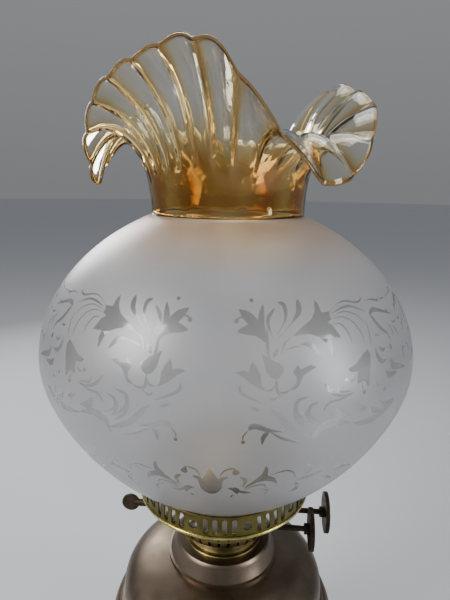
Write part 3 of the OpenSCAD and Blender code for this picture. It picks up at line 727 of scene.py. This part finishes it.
def wall_handles(rim):
    """Control points of the wall from the neck to the rim, as (reach, height) in mm."""
    _, reach, height, shoulder = rim
    upright = clamp((height - LOWEST_RIM) / FULL_RISE)
    folded = 1 - upright
    return ((0, 0), (0, 36 * folded + height * upright / 2),
            (reach * (0.6 * folded + 0.25 * upright), shoulder * folded + 0.8 * height * upright),
            (reach, height))


def pleat(a, t):
    """0 on the sharp ridge of a pleat, 1 in its round valley."""
    closer_on_left = 1.3 * math.sin(math.radians(a + 135))
    wander = 0.13 * math.sin(math.radians(3 * a + 40)) * t
    phase = (a - RIM_TURNS[0][0]) * CRIMPS / 360 + closer_on_left + wander
    return abs(math.sin(math.pi * phase))


def crimp(a, t):
    """Height of the pleats in mm, deepest above the throat and a little uneven."""
    uneven = 1 + 0.2 * math.sin(math.radians(7 * a)) + 0.12 * math.sin(math.radians(11 * a + 70))
    rise = max(0.0, 1 - ((t - CRIMP_PEAK) / CRIMP_SPREAD) ** 2)
    return CRIMP_DEPTH * rise * uneven * (1 - 2 * pleat(a, t) ** 0.9)


def frill_section(a, t, inward):
    """(radius, height) in metres on the outer (0) or inner (1) side of the wall."""
    handles = wall_handles(rim_at(a))
    r, z = cubic(*handles, t)
    before, after = cubic(*handles, t - 0.01), cubic(*handles, t + 0.01)
    dr, dz = after[0] - before[0], after[1] - before[1]
    length = math.hypot(dr, dz)
    out = (dz / length, -dr / length) if t > 0.01 else (1.0, 0.0)
    push = crimp(a, t) - inward * (1 - 0.4 * t) * GLASS / MM
    return NECK_R + (r + out[0] * push) * MM, NECK_Z + (z + out[1] * push) * MM


def stain_at(a, t):
    """Depth of the amber lustre, 0 to 1: in the throat, on the ridges and on the rim's edge."""
    throat = clamp((THROAT_TOP - t) / THROAT_FADE) * (0.62 + 0.2 * math.sin(math.radians(9 * a)))
    ridge = (1 - pleat(a, t)) ** 2.2 * clamp((t - RIDGE_START) / RIDGE_START)
    edge = clamp((t - EDGE_START) / (1 - EDGE_START))
    return max(throat, 0.85 * ridge, edge)


def build_frill():
    """The rim as one closed wall: up the outside, over a rounded edge, down the inside."""
    columns, rows = CRIMPS * COLUMNS_PER_CRIMP, FRILL_ROWS
    vertices, faces, stains = [], [], []

    def add_ring(t, inward):
        for i in range(columns):
            a = RIM_TURNS[0][0] + 360 * i / columns
            r, z = frill_section(a, t, inward)
            turn = math.radians(a)
            vertices.append((r * math.cos(turn), r * math.sin(turn), z))
            stains.append(stain_at(a, t))

    for j in range(rows + 1):
        add_ring(j / rows, 0)
    add_ring(1 + 0.006, 0.25)
    add_ring(1 + 0.008, 0.5)
    add_ring(1 + 0.006, 0.75)
    for j in range(rows, -1, -1):
        add_ring(j / rows, 1)
    rings = len(vertices) // columns
    for j in range(rings):
        n = (j + 1) % rings
        for i in range(columns):
            k = (i + 1) % columns
            faces.append([j * columns + i, j * columns + k, n * columns + k, n * columns + i])
    frill = add_mesh("frill_glass", vertices, faces, "shade",
                     [SLOT_MATERIALS["amber_glass"]])
    stain = frill.data.attributes.new("stain", "FLOAT", "POINT")
    stain.data.foreach_set("value", stains)
    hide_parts("shade_frill")


# ---------------------------------------------------------------- wicks

BURNER_TURN = math.radians(-4.5)
WICK_WIDTH, WICK_THICK = 0.028, 0.0024
CHARRED_ROWS = 4


def build_wick(name, node, body):
    """A flat woven tape with rounded edges, ribs across it, and a charred, ragged top."""
    low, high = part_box(node)
    middle = (Vector(low) + Vector(high)) / 2
    width, thick = WICK_WIDTH, WICK_THICK
    cos_turn, sin_turn = math.cos(BURNER_TURN), math.sin(BURNER_TURN)
    around, up = 40, 150
    vertices, faces, kinds = [], [], []
    for j in range(up + 1):
        z = low[2] + (high[2] - low[2]) * j / up
        rib = 0.00008 * math.sin(j * 2.4)
        for i in range(around):
            a = 2 * math.pi * i / around
            c, s = math.cos(a), math.sin(a)
            x = (width / 2 - 0.0001) * math.copysign(abs(c) ** 0.22, c)
            y = (thick / 2 - 0.00018 + rib) * math.copysign(abs(s) ** 0.35, s)
            sag = 0.0006 * math.sin(17 * x / width * 3) if j == up else 0
            vertices.append((middle.x + x * cos_turn - y * sin_turn,
                             middle.y + x * sin_turn + y * cos_turn, z - abs(sag)))
    for j in range(up):
        for i in range(around):
            k = (i + 1) % around
            faces.append([j * around + i, j * around + k, (j + 1) * around + k, (j + 1) * around + i])
            kinds.append(1 if j > up - CHARRED_ROWS else 0)
    faces.append(list(range(around - 1, -1, -1)))
    faces.append([up * around + i for i in range(around)])
    kinds += [0, 1]
    wick = add_mesh(name, vertices, faces, body, [SLOT_MATERIALS["cotton"], char()], kinds)
    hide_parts(node)


# ---------------------------------------------------------------- felt

def build_felt():
    """A felt disc glued under the foot: a soft rounded edge, and a lower side that gives a little."""
    low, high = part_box("felt_pad")
    radius, top = high[0], high[2]
    columns, rings, edge_rings = 128, 24, 7
    vertices, faces = [], []

    def add_ring(r, z, ripple):
        for i in range(columns):
            a = 2 * math.pi * i / columns
            lift = ripple * (1 + math.sin(9 * a + 160 * r) * math.cos(5 * a - 90 * r)) / 2
            vertices.append((r * math.cos(a), r * math.sin(a), z + lift))

    inset = 0.9 * MM
    for k in range(1, rings + 1):
        add_ring((radius - inset) * k / rings, low[2], 0.12 * MM)
    for k in range(1, edge_rings + 1):
        turn = math.pi * k / (edge_rings + 1)
        z = (low[2] + top) / 2 - (top - low[2]) / 2 * math.cos(turn)
        add_ring(radius - inset + inset * math.sin(turn), z, 0)
    for k in range(rings, 0, -1):
        add_ring((radius - inset) * k / rings, top, 0)
    for j in range(len(vertices) // columns - 1):
        for i in range(columns):
            k = (i + 1) % columns
            faces.append([j * columns + k, j * columns + i, (j + 1) * columns + i, (j + 1) * columns + k])
    faces.append(list(range(columns)))
    faces.append(list(range(len(vertices) - 1, len(vertices) - columns - 1, -1)))
    pad = add_mesh("felt_disc", vertices, faces, "lamp_base", [SLOT_MATERIALS["felt"]])
    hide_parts("felt_pad")


# ---------------------------------------------------------------- floor

def build_floor():
    """A pale disc, wide enough that its edge is far off."""
    steps, radius = 96, 12.0
    paint, _, _ = new_material("pale_floor", (0.5, 0.51, 0.53), roughness=0.7)
    rim = [(radius * math.cos(2 * math.pi * i / steps), radius * math.sin(2 * math.pi * i / steps), 0)
           for i in range(steps)]
    mesh = bpy.data.meshes.new("floor")
    mesh.from_pydata(rim, [], [list(range(steps))])
    mesh.materials.append(paint)
    floor = bpy.data.objects.new("floor", mesh)
    bpy.context.scene.collection.objects.link(floor)


make_camera()
make_light()
dress_cad_nodes()
build_globe()
build_frill()
build_wick("front_wick_tape", "wick_front", "front_wick")
build_wick("rear_wick_tape", "wick_rear", "rear_wick")
build_felt()
build_floor()
